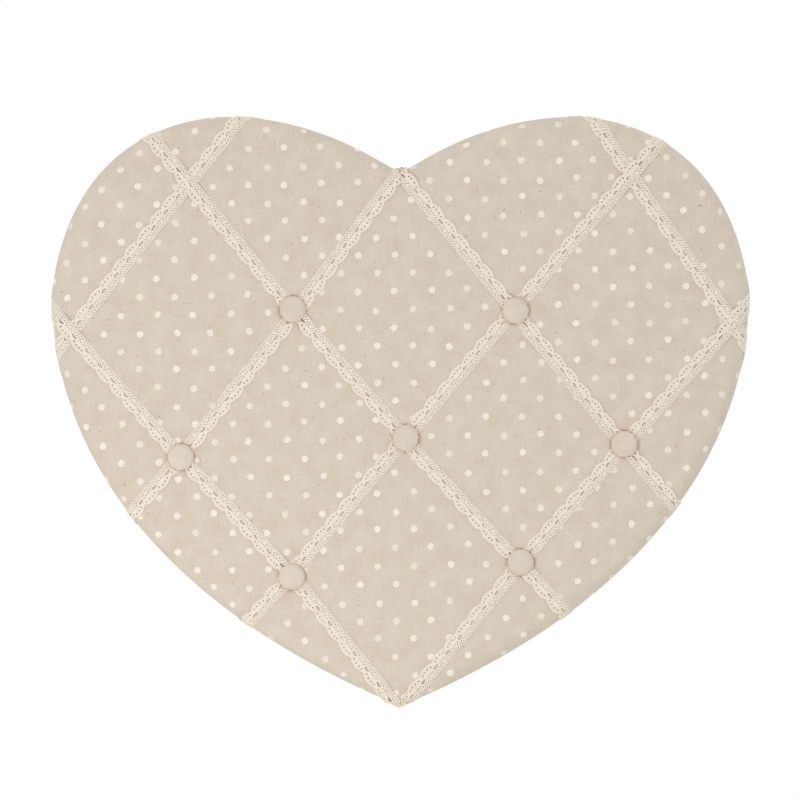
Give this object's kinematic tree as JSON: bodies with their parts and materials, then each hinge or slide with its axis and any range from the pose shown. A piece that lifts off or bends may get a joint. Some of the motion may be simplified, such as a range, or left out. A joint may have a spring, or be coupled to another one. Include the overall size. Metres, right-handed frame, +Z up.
{
  "type": "french memo board",
  "caption": "Heart-shaped padded memo board in dotted linen, crossed by scalloped lace ribbons that covered buttons hold down, with hanging rings on its lined back.",
  "frame": {"origin": "middle of the lining's back face, where the board rests against a wall", "axes": "+Z up the wall, -Y out of the wall towards the viewer, +X to the viewer's right"},
  "size_m": [0.4042, 0.0288, 0.3407],
  "materials": {
    "linen": "natural linen, printed dots",
    "lace": "ecru cotton lace",
    "wadding": "white wadding",
    "fibreboard": "plain fibreboard",
    "card": "buff card",
    "tinplate": "pressed tinplate",
    "nickel": "nickel plated"
  },
  "bodies": {
    "board": {"backing_board": "fibreboard", "padding": "wadding", "linen_cover": "linen", "back_lining": "card", "lace_top_right": "lace", "lace_top_left": "lace", "lace_left_rising": "lace", "lace_long_rising": "lace", "lace_right_rising": "lace", "lace_long_falling": "lace", "lace_left_falling": "lace", "lace_right_falling": "lace", "button_cap_upper_left": "linen", "button_shell_upper_left": "tinplate", "button_pin_upper_left": "tinplate", "button_cap_upper_right": "linen", "button_shell_upper_right": "tinplate", "button_pin_upper_right": "tinplate", "button_cap_middle": "linen", "button_shell_middle": "tinplate", "button_pin_middle": "tinplate", "button_cap_left": "linen", "button_shell_left": "tinplate", "button_pin_left": "tinplate", "button_cap_right": "linen", "button_shell_right": "tinplate", "button_pin_right": "tinplate", "button_cap_lower_left": "linen", "button_shell_lower_left": "tinplate", "button_pin_lower_left": "tinplate", "button_cap_lower_right": "linen", "button_shell_lower_right": "tinplate", "button_pin_lower_right": "tinplate", "hanger_strap_left": "nickel", "hanger_screw_left": "nickel", "hanger_strap_right": "nickel", "hanger_screw_right": "nickel"},
    "ring_left": {"hanger_ring_left": "nickel"},
    "ring_right": {"hanger_ring_right": "nickel"}
  },
  "joints": [
    {"name": "ring_swing_left", "type": "hinge", "parent": "board", "child": "ring_left", "pos_m": [-0.1, 0.0028, 0.092], "axis": [1, 0, 0], "range_deg": [0, 180]},
    {"name": "ring_swing_right", "type": "hinge", "parent": "board", "child": "ring_right", "pos_m": [0.1, 0.0028, 0.092], "axis": [1, 0, 0], "range_deg": [0, 180]}
  ]
}
